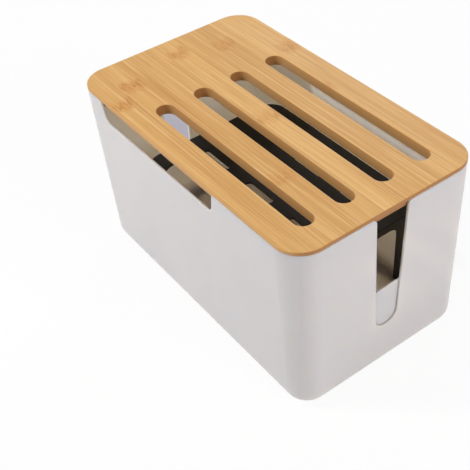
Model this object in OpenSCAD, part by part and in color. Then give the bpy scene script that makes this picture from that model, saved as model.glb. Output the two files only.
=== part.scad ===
// Router storage box: a moulded box, a stepped bamboo lid with four slots, and a loose shelf inside.
// +Z is up, X runs along the box, the long front wall faces -Y.
// The origin lies on the table, under the middle of the box.

/* [Box] */
// Length of the box over its rim
box_l = 320; // [280:1:400]
// Width of the box over its rim
box_w = 188; // [180:0.5:240]
// Height of the moulding from its base to its rim
box_h = 176.5; // [160:0.5:240]
// Corner radius at the rim
corner_r = 25; // [18:0.5:32]
// Inward lean of each wall from the rim to the base
draft = 4.6; // [0.5:0.1:5]
// Wall thickness
wall = 2.2; // [1.5:0.1:3.5]
// Floor thickness
floor_t = 3; // [2:0.1:5]
// Radius of the rounded edge between walls and base
base_fillet = 12; // [6:0.5:14]

/* [Front notch] */
// Length of the hand notch along the front rim
notch_l = 173; // [80:1:200]
// Depth of the notch below the rim
notch_h = 20.8; // [12:0.1:40]
// Radius of the notch's lower corners
notch_r = 9; // [2:0.5:11]
// Distance from the -X end of the box to the notch
notch_end = 42.5; // [30:0.5:80]
// Lean of each end of the notch from its floor out to the rim
notch_flare = 4; // [0:0.5:8]

/* [Cable slots] */
// Width of a cable slot just under its flared mouth
port_w = 32.4; // [26:0.2:44]
// Radius of a slot's round lower end
port_r = 12.2; // [8:0.1:13]
// Depth of a slot below the rim
port_h = 128; // [60:1:140]
// Radius of the flare at a slot's mouth
port_flare = 5; // [2:0.5:10]
// Height of the web behind the lower end of the slot at +X
web_h = 43.5; // [15:0.5:60]
// Thickness of that web
web_t = 1.5; // [1:0.1:3]
// Overlap of the web on the inside of the wall round the slot
web_lap = 3; // [2:0.5:6]
// Depth that the web is let into the wall
web_set = 0.3; // [0.2:0.1:1]

/* [Lid] */
// Thickness of the bamboo board
lid_t = 10; // [8:0.1:16]
// Height of the step that drops inside the rim
lid_step = 5.9; // [2:0.1:7]
// Clearance of the step to the inside of the walls
lid_clear = 0.8; // [0.4:0.1:2]
// Chamfer on the board's upper edge
lid_edge = 0.8; // [0.4:0.1:2]
// Number of slots in the lid
slot_n = 4; // [1:1:4]
// Length of a lid slot
slot_l = 205.5; // [100:0.5:220]
// Width of a lid slot
slot_w = 17.4; // [8:0.1:24]
// Spacing of the lid slots
slot_pitch = 39.7; // [30:0.1:42]
// Distance from the slots to the +X end of the lid
slot_end = 25; // [15:0.5:40]
// Shift of the slots towards the front
slot_shift = 0.4; // [0:0.1:4]
// Chamfer round a slot's upper edge
slot_edge = 0.7; // [0.3:0.1:1.5]

/* [Shelf] */
// Gap from the shelf's feet to the -X edge of the flat floor
shelf_left = 49.1; // [10:0.1:60]
// Gap from the shelf's feet to the +X edge of the flat floor
shelf_right = 30.5; // [10:0.1:60]
// Gap from the shelf's feet to the front edge of the flat floor
shelf_front = 7.1; // [0.5:0.1:16]
// Gap from the shelf's feet to the back edge of the flat floor
shelf_back = 0.5; // [0.5:0.1:16]
// Height of the shelf's deck above the floor of the box
shelf_h = 107; // [80:0.5:130]
// Outward lean of the shelf's sides from its feet to the deck
shelf_draft = 3.8; // [0:0.1:5]
// Thickness of the shelf's rim and legs
shelf_wall = 2.5; // [1.5:0.1:4]
// Thickness of the deck
deck_t = 2.5; // [1.5:0.1:4]
// Corner radius of the deck
shelf_r = 19; // [10:0.5:24]
// Chamfer on the deck's upper edge
shelf_edge = 0.8; // [0.3:0.1:1.5]
// Height of the rim that hangs from the deck between the legs
skirt_h = 7.7; // [5:0.1:16]
// Width of a front leg across the shelf's end, under the rim
leg_front = 22.6; // [22:0.2:45]
// Width of a back leg across the shelf's end, under the rim
leg_back = 33; // [28:0.2:45]
// Width of a leg along the shelf's side
leg_side = 30; // [24:0.1:50]
// How much a leg narrows across the shelf's end, from the rim to the floor
leg_narrow = 15; // [0:0.5:15.5]
// Radius of the upper corners between the legs
arch_r = 10; // [3:0.5:20]

/* [Shelf cut-outs] */
// Length of a vent
vent_l = 37; // [20:0.5:50]
// Width of a vent
vent_w = 4.2; // [2:0.1:6]
// Width of the middle vent of the front row
vent_mid_w = 8.2; // [3:0.1:9]
// Spacing of the vents in a row
vent_pitch = 64; // [52:0.2:66]
// Distance from the deck's front edge to the front row of vents
vent_front = 56.3; // [44:0.1:62]
// Distance from the deck's back edge to the back row of vents
vent_back = 43.3; // [20:0.1:60]
// Width of the deck left beside the cable window
window_side = 21.3; // [16:0.1:60]
// Width of the deck left in front of the cable window
window_rim = 5.7; // [3:0.1:8]
// Width of the cable window, which has round ends
window_w = 33.5; // [18:0.5:40]

/* [Feet] */
// Diameter of a rubber foot
foot_d = 18; // [10:0.5:24]
// Thickness of a foot
foot_t = 3; // [2:0.1:5]
// Depth of the pocket that a foot is glued into
foot_sink = 1; // [0.5:0.1:1.5]
// Clearance round a foot in its pocket
foot_clear = 0.4; // [0.2:0.1:1]
// Distance from the edge of the base's flat to a foot's middle
foot_inset = 18; // [13:0.5:30]
// Chamfer on a foot's lower edge
foot_edge = 0.8; // [0.3:0.1:1.5]

/* [Hidden] */
$fn = 64;

// Extra reach of a cutting shape past the face that it opens
over = 1;
white = [0.85, 0.84, 0.82];
bamboo = [0.86, 0.67, 0.43];
black = [0.09, 0.09, 0.09];
rubber = [0.22, 0.22, 0.22];

// Heights in the frame of the whole box
base_z = foot_t - foot_sink;
floor_z = base_z + floor_t;
rim_z = base_z + box_h;

// Half distances between the middles of the box's rounded corners
box_ax = box_l / 2 - corner_r;
box_ay = box_w / 2 - corner_r;
// Corner radius of the outer wall where it would meet the base
base_r = corner_r - draft;
inner_fillet = base_fillet - wall;

// How far a drafted wall leans out over a height
function lean(h) = draft * h / box_h;

// Angle of a drafted wall from the vertical
wall_lean = atan(lean(1));

// A length kept to a thousandth of a millimetre, so that faces placed by it meet exactly
function exact(v) = round(v * 1000) / 1000;

// Distance from a corner's middle to where the flat of a floor runs into the fillet of a wall
function flat_edge(foot_r, fillet) = exact(foot_r + fillet * (tan(wall_lean) - 1 / cos(wall_lean)));

// Foot of the inner wall, and half the flat of the floor inside the box
inner_r = base_r + lean(floor_t) - wall;
flat_x = box_ax + flat_edge(inner_r, inner_fillet);
flat_y = box_ay + flat_edge(inner_r, inner_fillet);

// The deck's size and the shelf's place follow from the gaps round its feet on the flat floor
shelf_l = 2 * (flat_x + shelf_draft) - shelf_left - shelf_right;
shelf_w = 2 * (flat_y + shelf_draft) - shelf_front - shelf_back;
shelf_x = (shelf_left - shelf_right) / 2;
shelf_y = (shelf_front - shelf_back) / 2;
shelf_ax = shelf_l / 2 - shelf_r;
shelf_ay = shelf_w / 2 - shelf_r;

// Distance from the middle of a shelf corner to the shelf's outer side, at a height above the floor
function shelf_side(h) = exact(shelf_r - shelf_draft * (1 - h / shelf_h));

// Place of each foot under the flat of the base
foot_x = box_ax + flat_edge(base_r, base_fillet) - foot_inset;
foot_y = box_ay + flat_edge(base_r, base_fillet) - foot_inset;

// Sweeps the profile that follows round a rounded rectangle, with the middle filled from z0 to z1.
// In the profile, x is the distance outwards from the middle of a corner and y is the height.
module rounded_sweep(ax, ay, z0, z1) {
    for (sx = [0, 1], sy = [0, 1])
        mirror([sx, 0, 0]) mirror([0, sy, 0])
            translate([ax, ay, 0])
                rotate_extrude(angle = 90) children();
    for (sy = [0, 1])
        mirror([0, sy, 0])
            translate([-ax, ay, 0])
                rotate([90, 0, 90]) linear_extrude(2 * ax) children();
    for (sx = [0, 1])
        mirror([sx, 0, 0])
            translate([ax, ay, 0])
                rotate([90, 0, 0]) linear_extrude(2 * ay) children();
    translate([-ax, -ay, z0]) cube([2 * ax, 2 * ay, z1 - z0]);
}

// Section of a drafted wall that runs into the base with a tangent fillet
module drafted_section(foot_r, rise, fillet) {
    cx = flat_edge(foot_r, fillet);
    polygon([
        [0, 0],
        [cx, 0],
        [cx, fillet],
        [cx + fillet * cos(wall_lean), fillet - fillet * sin(wall_lean)],
        [foot_r + lean(rise), rise],
        [0, rise]
    ]);
    intersection() {
        translate([cx, fillet]) circle(r = fillet);
        translate([cx, 0]) square(fillet);
    }
}

// Solid inside a drafted wall set back by an inset, from a height above the base up to the rim
module drafted_body(inset, from, fillet, past = 0) {
    rise = box_h - from + past;
    translate([0, 0, base_z + from])
        rounded_sweep(box_ax, box_ay, 0, rise)
            drafted_section(base_r + lean(from) - inset, rise, fillet);
}

// Slot with round ends along X, cut downwards from z = 0, with a chamfer round its mouth
module long_slot(length, width, depth, edge) {
    half = length / 2 - width / 2;
    mouth = width / 2 + edge + over;
    section = [
        [0, -depth], [width / 2, -depth], [width / 2, -edge], [mouth, over], [0, over]
    ];
    for (sx = [0, 1])
        mirror([sx, 0, 0])
            translate([half, 0, 0])
                rotate([0, 0, -90]) rotate_extrude(angle = 180) polygon(section);
    for (sy = [0, 1])
        mirror([0, sy, 0])
            translate([-half, 0, 0])
                rotate([90, 0, 90]) linear_extrude(2 * half) polygon(section);
}

// Outline of a cable slot, with x across the wall and y up, measured from the rim
module port_outline() {
    half = port_w / 2;
    mid = port_r - port_h;
    translate([0, mid]) circle(r = port_r);
    polygon([[-half, -port_flare], [-port_r, mid], [port_r, mid], [half, -port_flare]]);
    difference() {
        translate([-half - port_flare, -port_flare])
            square([port_w + 2 * port_flare, port_flare + over]);
        for (s = [-1, 1])
            translate([s * (half + port_flare), -port_flare]) circle(r = port_flare);
    }
}

// Both cable slots, cut right through the end walls
module ports() {
    depth = draft + wall + over;
    for (s = [-1, 1])
        translate([s > 0 ? box_l / 2 - depth : -box_l / 2 - over, 0, rim_z])
            rotate([90, 0, 90]) linear_extrude(depth + over) port_outline();
}

// Outline of an opening that is open at y = 0 and closed by a straight edge at y = depth.
// The corners at that edge are rounded, and the sides lean apart towards the open end.
module opening_outline(half, depth, r, taper) {
    slant = sqrt(1 + taper * taper);
    cx = half + r * (taper - slant);
    side = [cx + r / slant, depth - r + r * taper / slant];
    mouth = half + taper * (depth + over);
    polygon([
        [-mouth, -over], [mouth, -over], side, [cx, depth - r], [cx, depth],
        [-cx, depth], [-cx, depth - r], [-side[0], side[1]]
    ]);
    for (s = [-1, 1])
        translate([s * cx, depth - r]) circle(r = r);
}

// Hand notch in the front wall, open at the rim
module notch() {
    depth = draft + wall + over;
    translate([notch_end + notch_l / 2 - box_l / 2, -box_w / 2 + depth, rim_z])
        rotate([90, 0, 0]) linear_extrude(depth + over)
            mirror([0, 1, 0])
                opening_outline(notch_l / 2 - notch_flare, notch_h, notch_r, notch_flare / notch_h);
}

// Thin web that stands against the inside of the +X wall and closes the lower end of its slot
module port_web() {
    low = rim_z - port_h;
    across = port_w / 2 + web_lap;
    intersection() {
        difference() {
            drafted_body(wall - web_set, floor_t, inner_fillet);
            drafted_body(wall + web_t, floor_t + web_t, inner_fillet - web_t, over);
        }
        translate([box_ax, -across, low - web_lap])
            cube([box_l, 2 * across, web_h + web_lap]);
    }
}

// White moulding: drafted walls, rounded base, hand notch, two cable slots and four foot pockets
module storage_box() {
    color(white) {
        difference() {
            drafted_body(0, 0, base_fillet);
            drafted_body(wall, floor_t, inner_fillet, over);
            notch();
            ports();
            for (sx = [-1, 1], sy = [-1, 1])
                translate([sx * foot_x, sy * foot_y, base_z - over])
                    cylinder(d = foot_d + 2 * foot_clear, h = foot_sink + over);
        }
        port_web();
    }
}

// Bamboo board with a step that centres it in the rim, and slots that hold tablets and let heat out
module lid() {
    step_r = corner_r - wall - lid_clear;
    flange = lid_t - lid_step;
    slot_x = box_l / 2 - slot_end - slot_l / 2;
    color(bamboo)
        translate([0, 0, rim_z])
            difference() {
                rounded_sweep(box_ax, box_ay, -lid_step, flange)
                    polygon([
                        [0, -lid_step],
                        [step_r, -lid_step],
                        [step_r, 0],
                        [corner_r, 0],
                        [corner_r, flange - lid_edge],
                        [corner_r - lid_edge, flange],
                        [0, flange]
                    ]);
                for (i = [0 : slot_n - 1])
                    translate([slot_x, (i - (slot_n - 1) / 2) * slot_pitch - slot_shift, flange])
                        long_slot(slot_l, slot_w, lid_t + over, slot_edge);
            }
}

// Opening between the tapered legs of both ends, right along the shelf
module end_arch() {
    half = shelf_w / 2 - (leg_front + leg_back) / 2;
    rise = shelf_h - skirt_h;
    translate([-shelf_l / 2 - over, (leg_front - leg_back) / 2, 0])
        rotate([90, 0, 90])
            linear_extrude(shelf_l + 2 * over) opening_outline(half, rise, arch_r, leg_narrow / rise);
}

// Opening between the upright legs of both sides, right across the shelf
module side_arch() {
    translate([0, shelf_w / 2 + over, 0])
        rotate([90, 0, 0])
            linear_extrude(shelf_w + 2 * over)
                opening_outline(shelf_l / 2 - leg_side, shelf_h - skirt_h, arch_r, 0);
}

// Vents in two rows of three, with a wider one in the middle of the front row
module vents() {
    for (i = [-1 : 1]) {
        translate([i * vent_pitch, vent_front - shelf_w / 2, shelf_h])
            long_slot(vent_l, i == 0 ? vent_mid_w : vent_w, deck_t + over, 0);
        translate([i * vent_pitch, shelf_w / 2 - vent_back, shelf_h])
            long_slot(vent_l, vent_w, deck_t + over, 0);
    }
}

// Long window near the front edge of the deck, for cables
module cable_window() {
    translate([0, window_rim + window_w / 2 - shelf_w / 2, shelf_h])
        long_slot(shelf_l - 2 * window_side, window_w, deck_t + over, 0);
}

// Black bridge: a deck with a hanging rim, four corner legs, two rows of vents and a cable window
module shelf() {
    ceiling = shelf_h - deck_t;
    color(black)
        translate([shelf_x, shelf_y, floor_z])
            difference() {
                rounded_sweep(shelf_ax, shelf_ay, 0, shelf_h)
                    polygon([
                        [0, 0],
                        [shelf_side(0), 0],
                        [shelf_side(shelf_h - shelf_edge), shelf_h - shelf_edge],
                        [shelf_r - shelf_edge, shelf_h],
                        [0, shelf_h]
                    ]);
                rounded_sweep(shelf_ax, shelf_ay, -over, ceiling)
                    polygon([
                        [0, -over],
                        [shelf_side(-over) - shelf_wall, -over],
                        [shelf_side(ceiling) - shelf_wall, ceiling],
                        [0, ceiling]
                    ]);
                end_arch();
                side_arch();
                vents();
                cable_window();
            }
}

// Rubber foot glued into its pocket under the base
module foot(sx, sy) {
    r = foot_d / 2;
    color(rubber)
        translate([sx * foot_x, sy * foot_y, 0])
            rotate_extrude()
                polygon([[0, 0], [r - foot_edge, 0], [r, foot_edge], [r, foot_t], [0, foot_t]]);
}

storage_box();
lid();
shelf();
foot(-1, -1);  // foot_front_left
foot(1, -1);  // foot_front_right
foot(-1, 1);  // foot_back_left
foot(1, 1);  // foot_back_right
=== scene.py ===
"""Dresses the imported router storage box: bamboo lid, white moulded box, black shelf and rubber feet."""

import logging
import math
from dataclasses import dataclass, field
from enum import Enum
from typing import Any, Iterable, Sequence, Union

import bmesh
import bpy
from mathutils import Matrix, Vector


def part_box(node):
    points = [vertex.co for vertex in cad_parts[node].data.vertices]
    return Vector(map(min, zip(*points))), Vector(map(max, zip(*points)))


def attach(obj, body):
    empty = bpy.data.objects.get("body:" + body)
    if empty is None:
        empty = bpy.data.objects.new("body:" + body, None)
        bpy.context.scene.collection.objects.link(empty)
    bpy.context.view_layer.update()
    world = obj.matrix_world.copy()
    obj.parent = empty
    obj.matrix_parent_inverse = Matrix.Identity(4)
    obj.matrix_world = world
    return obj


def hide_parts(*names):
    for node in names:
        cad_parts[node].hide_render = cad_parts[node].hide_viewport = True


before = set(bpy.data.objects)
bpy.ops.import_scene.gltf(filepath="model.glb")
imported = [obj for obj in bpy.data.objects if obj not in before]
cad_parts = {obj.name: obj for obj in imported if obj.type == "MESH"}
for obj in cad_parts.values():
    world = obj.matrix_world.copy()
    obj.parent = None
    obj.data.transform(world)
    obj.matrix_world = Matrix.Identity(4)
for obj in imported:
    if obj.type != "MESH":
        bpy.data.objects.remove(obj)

LOG = logging.getLogger("router_box")
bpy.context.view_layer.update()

Colour = tuple[float, float, float]
Point = tuple[float, float, float]
Number = Union[int, float]

MM = 0.001
WHITE: Colour = (1.0, 1.0, 1.0)
# The mean of a noise, and the middle of a strip that counts from 0 to 1.
MIDDLE = 0.5
# Rays with which a material feels for corners and for edges.
OPENNESS_SAMPLES = 8
EDGE_SAMPLES = 6
# Places of a Mix node's colour sockets.
MIX_AMOUNT, MIX_FIRST, MIX_SECOND, MIX_RESULT = 0, 6, 7, 2
# How strongly large faces hold the shading of the edges round them, in per cent.
FLAT_FACE_WEIGHT = 100


class Body(str, Enum):
    """The bodies that pieces ride on."""

    BOX = "box"
    LID = "lid"
    SHELF = "shelf"


class Slot(str, Enum):
    """The record's material slots."""

    WHITE = "white_plastic"
    BAMBOO = "bamboo"
    BLACK = "black_plastic"
    RUBBER = "rubber"


class Wire:
    """An output socket that adds Math nodes when it is used in an expression."""

    def __init__(self, graph: "Graph", socket: bpy.types.NodeSocket) -> None:
        """Keeps the graph and the socket."""
        self.graph = graph
        self.socket = socket

    def _math(self, operation: str, first: Any, second: Any = 0.0, third: Any = 0.0) -> "Wire":
        """Adds one Math node.

        Args:
            operation: The Math node's operation.
            first: Its first value, a wire or a number.
            second: Its second value.
            third: Its third value.

        Returns:
            The node's result.
        """
        return self.graph.node(
            "ShaderNodeMath", {"operation": operation}, {0: first, 1: second, 2: third}
        )

    def __add__(self, other: Any) -> "Wire":
        """Returns self plus other."""
        return self._math("ADD", self, other)

    def __radd__(self, other: Any) -> "Wire":
        """Returns other plus self."""
        return self._math("ADD", other, self)

    def __sub__(self, other: Any) -> "Wire":
        """Returns self minus other."""
        return self._math("SUBTRACT", self, other)

    def __rsub__(self, other: Any) -> "Wire":
        """Returns other minus self."""
        return self._math("SUBTRACT", other, self)

    def __mul__(self, other: Any) -> "Wire":
        """Returns self times other."""
        return self._math("MULTIPLY", self, other)

    def __rmul__(self, other: Any) -> "Wire":
        """Returns other times self."""
        return self._math("MULTIPLY", other, self)

    def __truediv__(self, other: Any) -> "Wire":
        """Returns self divided by other."""
        return self._math("DIVIDE", self, other)

    def __abs__(self) -> "Wire":
        """Returns the size of self without its sign."""
        return self._math("ABSOLUTE", self)

    def floor(self) -> "Wire":
        """Returns the whole number at or below self."""
        return self._math("FLOOR", self)

    def equals(self, value: Number) -> "Wire":
        """Returns 1 where self rounds to a whole value, and 0 elsewhere."""
        return self._math("COMPARE", self, value, MIDDLE)

    def at_least(self, other: Any) -> "Wire":
        """Returns the larger of self and other."""
        return self._math("MAXIMUM", self, other)

    def ease(self, low: float, high: float) -> "Wire":
        """Returns a smooth step.

        Args:
            low: The value at which the step starts from 0.
            high: The value at which it has reached 1.

        Returns:
            The step, from 0 to 1.
        """
        return self.graph.node(
            "ShaderNodeMapRange",
            {"interpolation_type": "SMOOTHSTEP"},
            {"Value": self, "From Min": low, "From Max": high},
        )


class Graph:
    """A node tree that is written as Python expressions."""

    def __init__(self, tree: bpy.types.NodeTree) -> None:
        """Empties the tree and keeps it."""
        self.tree = tree
        self.tree.nodes.clear()

    def node(
        self,
        kind: str,
        settings: dict[str, Any] | None = None,
        inputs: dict[Union[str, int], Any] | None = None,
        output: Union[str, int] = 0,
    ) -> Wire:
        """Adds a node.

        Args:
            kind: The node's type.
            settings: Properties of the node, set before its sockets.
            inputs: Values or wires for its input sockets, by name or by place.
            output: The output to return, by name or by place.

        Returns:
            The chosen output.
        """
        made = self.tree.nodes.new(kind)
        for name, value in (settings or {}).items():
            setattr(made, name, value)
        for key, value in (inputs or {}).items():
            self._feed(made.inputs[key], value)
        return Wire(self, made.outputs[output]) if made.outputs else Wire(self, None)

    def _feed(self, socket: bpy.types.NodeSocket, value: Any) -> None:
        """Links a wire to a socket, or sets the socket's own value."""
        if isinstance(value, Wire):
            self.tree.links.new(value.socket, socket)
        elif socket.type == "RGBA" and len(value) == 3:
            socket.default_value = (*value, 1.0)
        else:
            socket.default_value = value

    def mix(self, amount: Any, first: Any, second: Any) -> Wire:
        """Mixes two colours.

        Args:
            amount: How much of the second colour shows.
            first: The first colour.
            second: The second colour.

        Returns:
            The mixed colour.
        """
        return self.node(
            "ShaderNodeMix",
            {"data_type": "RGBA"},
            {MIX_AMOUNT: amount, MIX_FIRST: first, MIX_SECOND: second},
            output=MIX_RESULT,
        )

    def place(self) -> Wire:
        """Returns the point on the piece, in metres in the part's frame."""
        return self.node("ShaderNodeTexCoord", output="Object")

    def split(self, vector: Wire) -> tuple[Wire, Wire, Wire]:
        """Returns a vector's three numbers."""
        first = self.node("ShaderNodeSeparateXYZ", None, {0: vector})
        outputs = first.socket.node.outputs
        return first, Wire(self, outputs[1]), Wire(self, outputs[2])

    def noise(self, vector: Wire, scale: Point, detail: float = 2.0, rough: float = 0.5) -> Wire:
        """Adds a noise pattern.

        Args:
            vector: The point at which it is read.
            scale: Its frequency along each axis, in cycles per metre.
            detail: The number of finer layers.
            rough: How strong the finer layers are.

        Returns:
            The noise, about 0.5.
        """
        stretched = self.node("ShaderNodeMapping", None, {"Vector": vector, "Scale": scale})
        return self.node(
            "ShaderNodeTexNoise",
            None,
            {"Vector": stretched, "Scale": 1.0, "Detail": detail, "Roughness": rough},
        )

    def openness(self, reach: float, local: bool) -> Wire:
        """Tells corners and gaps from open surface.

        Args:
            reach: How far away something may be and still count, in metres.
            local: Whether only the piece itself counts.

        Returns:
            1 on open surface, less in a corner or a gap.
        """
        return self.node(
            "ShaderNodeAmbientOcclusion",
            {"samples": OPENNESS_SAMPLES, "only_local": local},
            {"Distance": reach},
            output="AO",
        )

    def surface(
        self, sockets: dict[str, Any], height: Wire, depth: float, strength: float, edge: float
    ) -> None:
        """Closes a material with a Principled surface, a bump and softened edges.

        Args:
            sockets: Values or wires of the surface's sockets.
            height: The pattern that raises the surface.
            depth: The height of the pattern, in metres.
            strength: How strongly it shows.
            edge: The radius to which an edge looks softened.
        """
        soft = self.node("ShaderNodeBevel", {"samples": EDGE_SAMPLES}, {"Radius": edge})
        bump = self.node(
            "ShaderNodeBump",
            None,
            {"Height": height, "Distance": depth, "Strength": strength, "Normal": soft},
        )
        shader = self.node("ShaderNodeBsdfPrincipled", None, {**sockets, "Normal": bump})
        self.node("ShaderNodeOutputMaterial", None, {"Surface": shader})


def new_material(name: str) -> tuple[bpy.types.Material, Graph]:
    """Makes an empty node material.

    Args:
        name: The material's name.

    Returns:
        The material and the graph that fills it.
    """
    material = bpy.data.materials.new(name)
    material.use_nodes = True
    return material, Graph(material.node_tree)


@dataclass(frozen=True)
class Knuckle:
    """A joint of the bamboo stalk that shows as a speckled patch in one strip."""

    x: float
    y: float
    strength: float


@dataclass(frozen=True)
class Grain:
    """One kind of streak along the strips: its frequencies, its sharpness and its weight."""

    along: float
    across: float
    starts: float
    full: float
    weight: float
    tint: Colour


@dataclass(frozen=True)
class BambooFinish:
    """Board glued up from bamboo strips along X, sanded and thinly lacquered."""

    light: Colour = (0.705, 0.408, 0.134)
    dark: Colour = (0.555, 0.288, 0.077)
    fibre: Colour = (0.45, 0.210, 0.06)
    knuckle: Colour = (0.60, 0.285, 0.066)
    speckle: Colour = (0.40, 0.150, 0.030)
    # The sawn faces run from a darker colour at their foot to a lighter one at their top: painted shade.
    sawn_shaded_bottom: Colour = (0.43, 0.240, 0.097)
    sawn_lit_top: Colour = (0.60, 0.315, 0.112)
    sawn_shade_heights: tuple[float, float] = (173.5 * MM, 182.0 * MM)
    end_grain: Colour = (0.34, 0.145, 0.042)
    shadow_line: Colour = (0.17, 0.070, 0.02)
    back_edge: float = 94.0 * MM
    strip_width: float = 20.8 * MM
    strip_contrast: float = 0.75
    drift_scale: Point = (5.0, 60.0, 60.0)
    drift_weight: float = 1.2
    drift_offset: float = 0.15
    grain_detail: float = 3.0
    grain_rough: float = 0.6
    seam_share: float = 0.02
    seam_weight: float = 0.26
    sides_range: tuple[float, float] = (0.35, 0.9)
    ends_range: tuple[float, float] = (0.35, 0.95)
    sawn_weight: float = 0.78
    knuckle_core: float = 1.0 * MM
    knuckle_reach: float = 14.0 * MM
    knuckle_bow: float = 14.0 * MM
    knuckle_weight: float = 0.70
    wander_scale: Point = (30.0, 90.0, 90.0)
    fleck_scale: Point = (130.0, 1000.0, 1000.0)
    fleck_range: tuple[float, float] = (0.44, 0.62)
    fleck_weight: float = 0.85
    fleck_sink: float = 0.5
    # Painted shade: the lid darkens towards the shadow_line colour where it sits close to the box's rim.
    contact_shadow_reach: float = 2.5 * MM
    contact_shadow_range: tuple[float, float] = (0.45, 0.95)
    contact_shadow_weight: float = 0.85
    rough: float = 0.40
    rough_relief: float = 0.04
    shine: float = 0.4
    relief_depth: float = 0.12 * MM
    relief_strength: float = 0.3
    edge: float = 0.4 * MM
    grains: tuple[Grain, ...] = (
        Grain(5.0, 150.0, 0.50, 0.72, 0.32, (0.56, 0.275, 0.072)),
        Grain(4.0, 290.0, 0.50, 0.68, 0.32, (0.49, 0.235, 0.065)),
        Grain(5.0, 330.0, 0.50, 0.70, 0.36, (0.82, 0.540, 0.235)),
        Grain(8.0, 430.0, 0.48, 0.68, 0.40, (0.47, 0.225, 0.065)),
        Grain(9.0, 520.0, 0.50, 0.70, 0.42, (0.85, 0.570, 0.265)),
        Grain(45.0, 1500.0, 0.56, 0.72, 0.35, (0.42, 0.190, 0.055)),
    )
    knuckles: tuple[Knuckle, ...] = (
        Knuckle(-72 * MM, 76 * MM, 0.7),
        Knuckle(-115 * MM, 39 * MM, 0.8),
        Knuckle(5 * MM, 54 * MM, 0.5),
        Knuckle(6 * MM, 6 * MM, 0.5),
        Knuckle(80 * MM, -41 * MM, 0.6),
        Knuckle(-132 * MM, -6 * MM, 0.7),
        Knuckle(-112 * MM, -54 * MM, 1.0),
        Knuckle(-92 * MM, -78 * MM, 0.8),
    )

    def build(self) -> bpy.types.Material:
        """Builds the material.

        Returns:
            The bamboo material.
        """
        material, graph = new_material("bamboo_strips")
        point = graph.place()
        x, y, z = graph.split(point)
        across = (self.back_edge - y) / self.strip_width
        strip = across.floor()
        within = across - strip
        tone = graph.node("ShaderNodeTexWhiteNoise", {"noise_dimensions": "1D"}, {"W": strip})
        drift = graph.noise(point, self.drift_scale, self.grain_detail)
        depth = (tone - MIDDLE) * self.strip_contrast + drift * self.drift_weight
        colour = graph.mix(depth - self.drift_offset, self.light, self.dark)
        relief: Any = 0.0
        for grain in self.grains:
            scale = (grain.along, grain.across, grain.across)
            lines = graph.noise(point, scale, self.grain_detail, self.grain_rough)
            shown = lines.ease(grain.starts, grain.full) * grain.weight
            colour = graph.mix(shown, colour, grain.tint)
            relief = lines + relief
        seam = 1 - abs(within - MIDDLE).ease(MIDDLE, MIDDLE - self.seam_share)
        colour = graph.mix(seam * self.seam_weight, colour, self.fibre)
        patch, flecks = self._knuckle_masks(graph, point, x, strip, within)
        colour = graph.mix(patch * self.knuckle_weight, colour, self.knuckle)
        colour = graph.mix(flecks * self.fleck_weight, colour, self.speckle)
        sides, ends = self._cut_faces(graph)
        # Painted shade: the sawn faces darken from their top edge down towards their foot.
        sawn_with_shade = graph.mix(z.ease(*self.sawn_shade_heights), self.sawn_shaded_bottom, self.sawn_lit_top)
        colour = graph.mix(sides * self.sawn_weight, colour, sawn_with_shade)
        colour = graph.mix(ends * self.sawn_weight, colour, self.end_grain)
        # Painted shade: a dark line where the lid's lower edge meets the rim.
        contact_shadow = 1 - graph.openness(self.contact_shadow_reach, local=False).ease(*self.contact_shadow_range)
        colour = graph.mix(contact_shadow * self.contact_shadow_weight, colour, self.shadow_line)
        graph.surface(
            {
                "Base Color": colour,
                "Roughness": self.rough + relief * self.rough_relief,
                "Specular IOR Level": self.shine,
            },
            relief - flecks * self.fleck_sink,
            depth=self.relief_depth,
            strength=self.relief_strength,
            edge=self.edge,
        )
        return material

    def _knuckle_masks(
        self, graph: Graph, point: Wire, x: Wire, strip: Wire, within: Wire
    ) -> tuple[Wire, Wire]:
        """Adds the speckled patches.

        Args:
            graph: The material's graph.
            point: The point on the board.
            x: Its place along the board.
            strip: The number of its strip, from the back edge.
            within: Its place across the strip, from 0 to 1.

        Returns:
            The patches, and the dark flecks in them.
        """
        wander = graph.noise(point, self.wander_scale) - MIDDLE
        bow = (within - MIDDLE) * (within - MIDDLE) * self.knuckle_bow
        along = x + bow + wander * self.knuckle_reach
        patch: Any = 0.0
        for knuckle in self.knuckles:
            number = math.floor((self.back_edge - knuckle.y) / self.strip_width)
            near = 1 - abs(along - knuckle.x).ease(self.knuckle_core, self.knuckle_reach)
            patch = near * strip.equals(number) * knuckle.strength + patch
        flecks = graph.noise(point, self.fleck_scale)
        return patch, patch * flecks.ease(*self.fleck_range)

    def _cut_faces(self, graph: Graph) -> tuple[Wire, Wire]:
        """Finds the sawn faces by the way they face.

        Args:
            graph: The material's graph.

        Returns:
            The board's sides and slot walls, and those of them that cut across the grain.
        """
        normal = graph.node("ShaderNodeTexCoord", output="Normal")
        lengthwise, _, upright = graph.split(normal)
        sides = 1 - abs(upright).ease(*self.sides_range)
        return sides, abs(lengthwise).ease(*self.ends_range)


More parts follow.
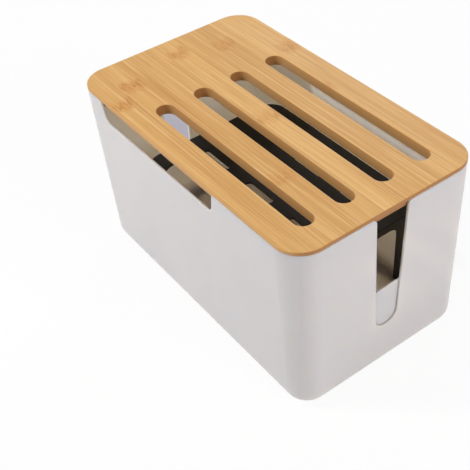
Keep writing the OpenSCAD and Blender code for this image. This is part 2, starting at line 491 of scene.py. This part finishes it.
@dataclass(frozen=True)
class MouldedFinish:
    """Moulded plastic or rubber with a fine spark-eroded grain, softened edges and painted shade in its
    corners and recesses.
    """

    name: str
    colour: Colour
    shade: Colour
    recess_shade: Colour
    rough: float
    grain: float
    depth: float
    edge: float
    recess_shade_reach: float = 4.0 * MM
    recess_shade_range: tuple[float, float] = (0.35, 0.95)
    flow_scale: float = 9.0
    flow_detail: float = 3.0
    flow_range: tuple[float, float] = (0.35, 0.68)
    flow_gloss: float = 0.1
    grain_rough: float = 0.6
    grain_gloss: float = 0.16
    grain_strength: float = 0.5
    shine: float = 0.45
    scatter: float = 0.0
    scatter_depth: float = 1.0 * MM
    scatter_tint: Colour = (1.0, 0.87, 0.65)

    def build(self) -> bpy.types.Material:
        """Builds the material.

        Returns:
            The moulded material.
        """
        material, graph = new_material(self.name)
        point = graph.place()
        flow = graph.noise(point, (self.flow_scale,) * 3, self.flow_detail)
        grain = graph.noise(point, (self.grain,) * 3, rough=self.grain_rough)
        colour = graph.mix(flow.ease(*self.flow_range), self.colour, self.shade)
        # Painted shade: the colour darkens in corners, gaps and recesses.
        recess_shade = 1 - graph.openness(self.recess_shade_reach, local=True).ease(*self.recess_shade_range)
        colour = graph.mix(recess_shade, colour, self.recess_shade)
        rough = self.rough + (flow - MIDDLE) * self.flow_gloss + (grain - MIDDLE) * self.grain_gloss
        graph.surface(
            {
                "Base Color": colour,
                "Roughness": rough,
                "Specular IOR Level": self.shine,
                "Subsurface Weight": self.scatter,
                "Subsurface Radius": self.scatter_tint,
                "Subsurface Scale": self.scatter_depth,
            },
            grain,
            depth=self.depth,
            strength=self.grain_strength,
            edge=self.edge,
        )
        return material


WHITE_PLASTIC = MouldedFinish(
    name="white_satin_plastic",
    colour=(0.775, 0.712, 0.688),
    shade=(0.755, 0.694, 0.670),
    recess_shade=(0.40, 0.40, 0.41),
    rough=0.46,
    grain=1100.0,
    depth=0.03 * MM,
    edge=0.9 * MM,
    scatter=1.0,
    scatter_depth=8.5 * MM,
)
BLACK_PLASTIC = MouldedFinish(
    name="black_matt_plastic",
    colour=(0.0160, 0.0128, 0.0108),
    shade=(0.0120, 0.0098, 0.0084),
    recess_shade=(0.0080, 0.0066, 0.0058),
    rough=0.52,
    grain=900.0,
    depth=0.05 * MM,
    edge=0.6 * MM,
)
DARK_RUBBER = MouldedFinish(
    name="dark_rubber",
    colour=(0.046, 0.045, 0.044),
    shade=(0.036, 0.035, 0.034),
    recess_shade=(0.028, 0.027, 0.026),
    rough=0.80,
    grain=1400.0,
    depth=0.04 * MM,
    edge=0.5 * MM,
)


def dress(piece: bpy.types.Object, material: bpy.types.Material) -> None:
    """Gives every face of a piece one material."""
    piece.data.materials.clear()
    piece.data.materials.append(material)


def new_piece(name: str, mesh: bpy.types.Mesh) -> bpy.types.Object:
    """Makes an object at the origin.

    Args:
        name: The piece's name.
        mesh: Its mesh, already in place.

    Returns:
        The linked object.
    """
    piece = bpy.data.objects.new(name, mesh)
    bpy.context.scene.collection.objects.link(piece)
    return piece


def plain_mesh(piece: bpy.types.Object, name: str) -> bpy.types.Mesh:
    """Turns a piece with its modifiers into a plain mesh.

    Args:
        piece: The object whose modifiers are applied.
        name: The new mesh's name.

    Returns:
        The mesh with everything applied.
    """
    depsgraph = bpy.context.evaluated_depsgraph_get()
    mesh = bpy.data.meshes.new_from_object(piece.evaluated_get(depsgraph), depsgraph=depsgraph)
    mesh.name = name
    return mesh


def rounded_outline(length: float, width: float, radius: float, steps: int) -> list[tuple[float, float]]:
    """Draws a rounded rectangle, counter-clockwise.

    Args:
        length: Its size along X.
        width: Its size along Y.
        radius: Its corner radius.
        steps: The number of straight pieces in each corner.

    Returns:
        Its points.
    """
    points = []
    for quarter in range(4):
        side_x = 1 if quarter in (0, 3) else -1
        side_y = 1 if quarter in (0, 1) else -1
        for step in range(steps + 1):
            angle = math.pi / 2 * (quarter + step / steps)
            points.append((
                side_x * (length / 2 - radius) + radius * math.cos(angle),
                side_y * (width / 2 - radius) + radius * math.sin(angle),
            ))
    return points


def quarter_turn(radius: float, steps: int) -> Iterable[tuple[float, float]]:
    """Walks a rounded edge.

    Args:
        radius: The edge's radius.
        steps: The number of straight pieces.

    Yields:
        How far the edge has come in, and how far it still has to rise, both from 0 to the radius.
    """
    for step in range(steps + 1):
        angle = math.pi / 2 * step / steps
        yield radius * (1 - math.cos(angle)), radius * (1 - math.sin(angle))


def stacked_mesh(name: str, rings: Sequence[Sequence[Point]]) -> bpy.types.Mesh:
    """Closes a stack of rings with the same number of points into a solid.

    Args:
        name: The mesh's name.
        rings: The rings, from the lowest to the highest, each counter-clockwise from above.

    Returns:
        The closed mesh.
    """
    shape = bmesh.new()
    made = [[shape.verts.new(point) for point in ring] for ring in rings]
    for low, high in zip(made, made[1:]):
        for i, corner in enumerate(low):
            after = (i + 1) % len(low)
            shape.faces.new((corner, low[after], high[after], high[i]))
    shape.faces.new(list(reversed(made[0])))
    shape.faces.new(made[-1])
    mesh = bpy.data.meshes.new(name)
    shape.to_mesh(mesh)
    shape.free()
    return mesh


def soften(piece: bpy.types.Object, crease_deg: float) -> None:
    """Shades a piece smooth, with flat faces that stay flat up to their rounded edges.

    Args:
        piece: The piece, whose mesh is replaced.
        crease_deg: The angle past which an edge stays sharp.
    """
    piece.data.shade_smooth()
    piece.data.set_sharp_from_angle(angle=math.radians(crease_deg))
    weigh = piece.modifiers.new("flat_faces", "WEIGHTED_NORMAL")
    weigh.keep_sharp = True
    weigh.weight = FLAT_FACE_WEIGHT
    mesh = plain_mesh(piece, piece.data.name)
    piece.modifiers.clear()
    piece.data = mesh


@dataclass
class BambooLid:
    """The bamboo board: a step that drops inside the rim, rounded edges and a row of long slots."""

    corner_radius: float = 25.0 * MM
    step_height: float = 5.9 * MM
    step_inset: float = 3.0 * MM
    edge_radius: float = 0.8 * MM
    under_radius: float = 0.4 * MM
    rim_radius: float = 1.2 * MM
    slot_count: int = 4
    slot_length: float = 205.5 * MM
    slot_width: float = 17.4 * MM
    slot_pitch: float = 39.7 * MM
    slot_middle: float = 32.25 * MM
    slot_shift: float = -0.4 * MM
    slot_edge: float = 0.7 * MM
    corner_steps: int = 20
    edge_steps: int = 4
    slot_overrun: float = 1.0 * MM
    weld: float = 0.001 * MM
    crease_deg: float = 50.0
    finish: BambooFinish = field(default_factory=BambooFinish)

    def build(self) -> bpy.types.Object:
        """Builds the lid in place of its plain solid.

        Returns:
            The dressed lid.
        """
        low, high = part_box("lid")
        material = self.finish.build()
        board = new_piece("bamboo_lid", self._board_mesh(low, high))
        cutter = new_piece("slot_cutter", self._cutter_mesh(low, high))
        self._cut_slots(board, cutter, material)
        bpy.data.objects.remove(cutter)
        dress(board, material)
        soften(board, self.crease_deg)
        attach(board, Body.LID.value)
        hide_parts("lid")
        return board

    def _board_mesh(self, low: Vector, high: Vector) -> bpy.types.Mesh:
        """Stacks the board's outline from its underside to its top.

        Args:
            low: The lid's lowest corner.
            high: The lid's highest corner.

        Returns:
            The board without slots.
        """
        length, width = high.x - low.x, high.y - low.y
        ledge = low.z + self.step_height
        levels = []
        for inward, rise in reversed(list(quarter_turn(self.under_radius, self.edge_steps))):
            levels.append((self.step_inset + inward, low.z + rise))
        levels.append((self.step_inset, ledge))
        for inward, rise in reversed(list(quarter_turn(self.rim_radius, self.edge_steps))):
            levels.append((inward, ledge + rise))
        for inward, rise in quarter_turn(self.edge_radius, self.edge_steps):
            levels.append((inward, high.z - rise))
        rings = []
        for inset, z in levels:
            outline = rounded_outline(
                length - 2 * inset, width - 2 * inset, self.corner_radius - inset, self.corner_steps
            )
            rings.append([(x, y, z) for x, y in outline])
        return stacked_mesh("bamboo_board", rings)

    def _cutter_mesh(self, low: Vector, high: Vector) -> bpy.types.Mesh:
        """Stacks the outline of one slot, with the flare that rounds the slot's edges.

        Args:
            low: The lid's lowest corner.
            high: The lid's highest corner.

        Returns:
            The cutter of the first slot, which is moved to the others.
        """
        over = self.slot_overrun
        levels = [(self.under_radius + over, low.z - over)]
        for inward, rise in reversed(list(quarter_turn(self.under_radius, self.edge_steps))):
            levels.append((inward, low.z + rise))
        for inward, rise in quarter_turn(self.slot_edge, self.edge_steps):
            levels.append((inward, high.z - rise))
        levels.append((self.slot_edge + over, high.z + over))
        rings = []
        for grow, z in levels:
            width = self.slot_width + 2 * grow
            outline = rounded_outline(
                self.slot_length + 2 * grow, width, width / 2, self.corner_steps
            )
            rings.append([(x, y, z) for x, y in outline])
        mesh = stacked_mesh("slot_cutter", rings)
        shape = bmesh.new()
        shape.from_mesh(mesh)
        bmesh.ops.remove_doubles(shape, verts=shape.verts, dist=self.weld)
        shape.to_mesh(mesh)
        shape.free()
        return mesh

    def _cut_slots(
        self, board: bpy.types.Object, cutter: bpy.types.Object, material: bpy.types.Material
    ) -> None:
        """Cuts the row of slots with a geometry tree and keeps the plain result.

        Args:
            board: The board, whose mesh is replaced.
            cutter: The solid that one slot removes.
            material: The material of the result.
        """
        first = self.slot_shift - self.slot_pitch * (self.slot_count - 1) / 2
        modifier = board.modifiers.new("slots", "NODES")
        modifier.node_group = slotted_board_tree()
        values = {
            "Cutter": cutter,
            "Count": self.slot_count,
            "Pitch": self.slot_pitch,
            "First": (self.slot_middle, first, 0.0),
            "Material": material,
        }
        for item in modifier.node_group.interface.items_tree:
            if item.name in values and item.in_out == "INPUT":
                modifier[item.identifier] = values[item.name]
        mesh = plain_mesh(board, "bamboo_lid")
        board.modifiers.clear()
        board.data = mesh


def slotted_board_tree() -> bpy.types.NodeTree:
    """Builds the geometry tree that cuts an evenly spaced row of slots from a board.

    Returns:
        The tree, with its sizes as named inputs.
    """
    tree = bpy.data.node_groups.new("slotted_board", "GeometryNodeTree")
    sockets = (
        ("Geometry", "INPUT", "NodeSocketGeometry"),
        ("Cutter", "INPUT", "NodeSocketObject"),
        ("Count", "INPUT", "NodeSocketInt"),
        ("Pitch", "INPUT", "NodeSocketFloat"),
        ("First", "INPUT", "NodeSocketVector"),
        ("Material", "INPUT", "NodeSocketMaterial"),
        ("Geometry", "OUTPUT", "NodeSocketGeometry"),
    )
    for name, side, kind in sockets:
        tree.interface.new_socket(name, in_out=side, socket_type=kind)
    graph = Graph(tree)
    board = graph.node("NodeGroupInput")
    given = {socket.name: Wire(graph, socket) for socket in board.socket.node.outputs if socket.name}
    step = graph.node("ShaderNodeCombineXYZ", None, {"Y": given["Pitch"]})
    line = graph.node(
        "GeometryNodeMeshLine",
        {"mode": "OFFSET"},
        {"Count": given["Count"], "Start Location": given["First"], "Offset": step},
    )
    tool = graph.node("GeometryNodeObjectInfo", None, {"Object": given["Cutter"]}, "Geometry")
    row = graph.node("GeometryNodeInstanceOnPoints", None, {"Points": line, "Instance": tool})
    solid_row = graph.node("GeometryNodeRealizeInstances", None, {0: row})
    cut = graph.node(
        "GeometryNodeMeshBoolean",
        {"operation": "DIFFERENCE", "solver": "EXACT"},
        {"Mesh 1": given["Geometry"], "Mesh 2": solid_row},
    )
    whole = graph.node("GeometryNodeRealizeInstances", None, {0: cut})
    finished = graph.node(
        "GeometryNodeSetMaterial", None, {"Geometry": whole, "Material": given["Material"]}
    )
    graph.node("NodeGroupOutput", None, {0: finished})
    return tree


@dataclass
class MouldedBox:
    """The white box with its four rubber feet."""

    feet: tuple[str, ...] = (
        "foot_front_left", "foot_front_right", "foot_back_left", "foot_back_right"
    )

    def build(self) -> list[bpy.types.Object]:
        """Dresses the box and its feet.

        Returns:
            The dressed pieces.
        """
        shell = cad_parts["storage_box"]
        dress(shell, WHITE_PLASTIC.build())
        rubber = DARK_RUBBER.build()
        pieces = [shell]
        for name in self.feet:
            dress(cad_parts[name], rubber)
            pieces.append(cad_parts[name])
        return pieces


@dataclass
class RouterShelf:
    """The loose black shelf inside the box."""

    def build(self) -> bpy.types.Object:
        """Dresses the shelf.

        Returns:
            The dressed shelf.
        """
        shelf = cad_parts["shelf"]
        dress(shelf, BLACK_PLASTIC.build())
        return shelf


@dataclass(frozen=True)
class Softbox:
    """A lamp with a wide soft face."""

    name: str
    place: Point
    size: tuple[float, float]
    watts: float
    tint: Colour = WHITE

    def build(self, aim: Vector) -> None:
        """Hangs the lamp and turns it to a point."""
        data = bpy.data.lights.new(self.name, "AREA")
        data.shape = "RECTANGLE"
        data.size, data.size_y = self.size
        data.energy = self.watts
        data.color = self.tint
        lamp = bpy.data.objects.new(self.name, data)
        lamp.location = self.place
        lamp.rotation_euler = (aim - Vector(self.place)).to_track_quat("-Z", "Y").to_euler()
        bpy.context.scene.collection.objects.link(lamp)


@dataclass(frozen=True)
class FloorShadow:
    """A soft rectangular shadow on the floor."""

    middle: tuple[float, float]
    half: tuple[float, float]
    edge: tuple[float, float]

    def mask(self, x: Wire, y: Wire) -> Wire:
        """Draws the shadow.

        Args:
            x: The point's place along the box.
            y: Its place across the box.

        Returns:
            1 in the shadow, 0 on open floor.
        """
        along = abs(x - self.middle[0]) / self.half[0]
        across = abs(y - self.middle[1]) / self.half[1]
        return (1 - along.ease(*self.edge)) * (1 - across.ease(*self.edge))


@dataclass
class Studio:
    """Pale floor, white surroundings and soft lamps."""

    floor_half: float = 6.0
    floor_colour: Colour = (0.85, 0.85, 0.85)
    floor_glow: float = 0.92
    shadow_colour: Colour = (0.47, 0.455, 0.51)
    cast: FloorShadow = FloorShadow((-0.13, 0.075), (0.21, 0.07), (0.8, 1.2))
    contact_shadow: FloorShadow = FloorShadow((-0.0225, 0.014), (0.1625, 0.084), (0.96, 1.02))
    sky_strength: float = 0.345
    aim: Point = (0.0, 0.0, 0.09)
    lamps: tuple[Softbox, ...] = (
        Softbox("key_softbox", (-0.66, -1.06, 1.353), (0.22, 0.22), 17.7),
        Softbox("side_softbox", (1.64, 0.30, 1.00), (0.6, 0.6), 14.8, (1.0, 0.955, 0.925)),
        Softbox("back_softbox", (-1.0, 1.3, 0.55), (0.8, 0.8), 9.0),
        Softbox("table_light", (0.0, 0.0, 0.001), (0.27, 0.14), 0.05),
    )

    def build(self) -> None:
        """Builds the floor, the world and the lamps."""
        bpy.context.scene.view_settings.view_transform = "Standard"
        self._floor()
        self._sky()
        for lamp in self.lamps:
            lamp.build(Vector(self.aim))

    def _seen(self, graph: Graph) -> Wire:
        """Returns 1 for the rays that see the background, straight or in a reflection."""
        paths = graph.node("ShaderNodeLightPath", output="Is Camera Ray")
        outputs = paths.socket.node.outputs
        seen = paths.at_least(Wire(graph, outputs["Is Glossy Ray"]))
        return seen.at_least(Wire(graph, outputs["Is Transmission Ray"]))

    def _floor(self) -> None:
        """Lays the floor, which shows near white and keeps a soft shadow."""
        half = self.floor_half
        mesh = bpy.data.meshes.new("studio_floor")
        corners = [(-half, -half, 0), (half, -half, 0), (half, half, 0), (-half, half, 0)]
        mesh.from_pydata(corners, [], [(0, 1, 2, 3)])
        floor = new_piece("studio_floor", mesh)
        material, graph = new_material("pale_floor")
        shadow = self._box_shadow(graph)
        tone = graph.mix(shadow, self.floor_colour, self.shadow_colour)
        matt = graph.node("ShaderNodeBsdfDiffuse", None, {"Color": tone})
        glow = graph.node("ShaderNodeEmission", None, {"Color": WHITE, "Strength": 1.0})
        bright = self._seen(graph) * (1 - shadow) * self.floor_glow
        shown = graph.node("ShaderNodeMixShader", None, {0: bright, 1: matt, 2: glow})
        graph.node("ShaderNodeOutputMaterial", None, {"Surface": shown})
        dress(floor, material)

    def _box_shadow(self, graph: Graph) -> Wire:
        """Returns the soft shadow under and behind the box, which shows through the far cable slot."""
        x, y, _ = graph.split(graph.place())
        return self.cast.mask(x, y).at_least(self.contact_shadow.mask(x, y))

    def _sky(self) -> None:
        """Fills the surroundings with even light, and shows them white."""
        world = bpy.data.worlds.new("studio_white")
        bpy.context.scene.world = world
        world.use_nodes = True
        graph = Graph(world.node_tree)
        light = graph.node(
            "ShaderNodeBackground", None, {"Color": WHITE, "Strength": self.sky_strength}
        )
        shown = graph.node("ShaderNodeBackground", None, {"Color": WHITE, "Strength": 1.0})
        both = graph.node("ShaderNodeMixShader", None, {0: self._seen(graph), 1: light, 2: shown})
        graph.node("ShaderNodeOutputWorld", None, {"Surface": both})


@dataclass(frozen=True)
class PhotoCamera:
    """The camera at the photograph's viewing angle."""

    azimuth_deg: float = 55.965
    elevation_deg: float = 40.721
    roll_deg: float = -4.545
    distance: float = 855.3 * MM
    aim: Point = (0.0, 0.0, 102.6 * MM)
    slide_right: float = -10.3 * MM
    slide_up: float = -24.71 * MM
    focal_px: float = 943.5
    centre_px: tuple[float, float] = (260.0, 215.0)
    frame_px: float = 470.0
    sensor_mm: float = 36.0

    def build(self) -> bpy.types.Object:
        """Places the camera and makes it the scene's own.

        Returns:
            The camera.
        """
        turn, tilt = math.radians(self.azimuth_deg), math.radians(self.elevation_deg)
        roll = math.radians(self.roll_deg)
        back = Vector((
            math.sin(turn) * math.cos(tilt), -math.cos(turn) * math.cos(tilt), math.sin(tilt)
        ))
        right = Vector((math.cos(turn), math.sin(turn), 0.0))
        up = back.cross(right)
        place = Vector(self.aim) + back * self.distance
        place += right * self.slide_right + up * self.slide_up
        rolled_right = right * math.cos(roll) + up * math.sin(roll)
        rolled_up = up * math.cos(roll) - right * math.sin(roll)
        data = bpy.data.cameras.new("photo_camera")
        data.sensor_width = self.sensor_mm
        data.lens = self.focal_px * self.sensor_mm / self.frame_px
        data.shift_x = (self.frame_px / 2 - self.centre_px[0]) / self.frame_px
        data.shift_y = (self.centre_px[1] - self.frame_px / 2) / self.frame_px
        camera = bpy.data.objects.new("photo_camera", data)
        axes = Matrix((rolled_right, rolled_up, back)).transposed()
        camera.matrix_world = Matrix.Translation(place) @ axes.to_4x4()
        bpy.context.scene.collection.objects.link(camera)
        bpy.context.scene.camera = camera
        return camera


def main() -> None:
    """Builds the camera, the studio and each sub-assembly in turn."""
    logging.basicConfig(level=logging.INFO, format="%(name)s: %(message)s")
    PhotoCamera().build()
    Studio().build()
    pieces = [*MouldedBox().build(), RouterShelf().build(), BambooLid().build()]
    for piece in pieces:
        LOG.info("%s: %d faces", piece.name, len(piece.data.polygons))


if __name__ == "__main__":
    main()
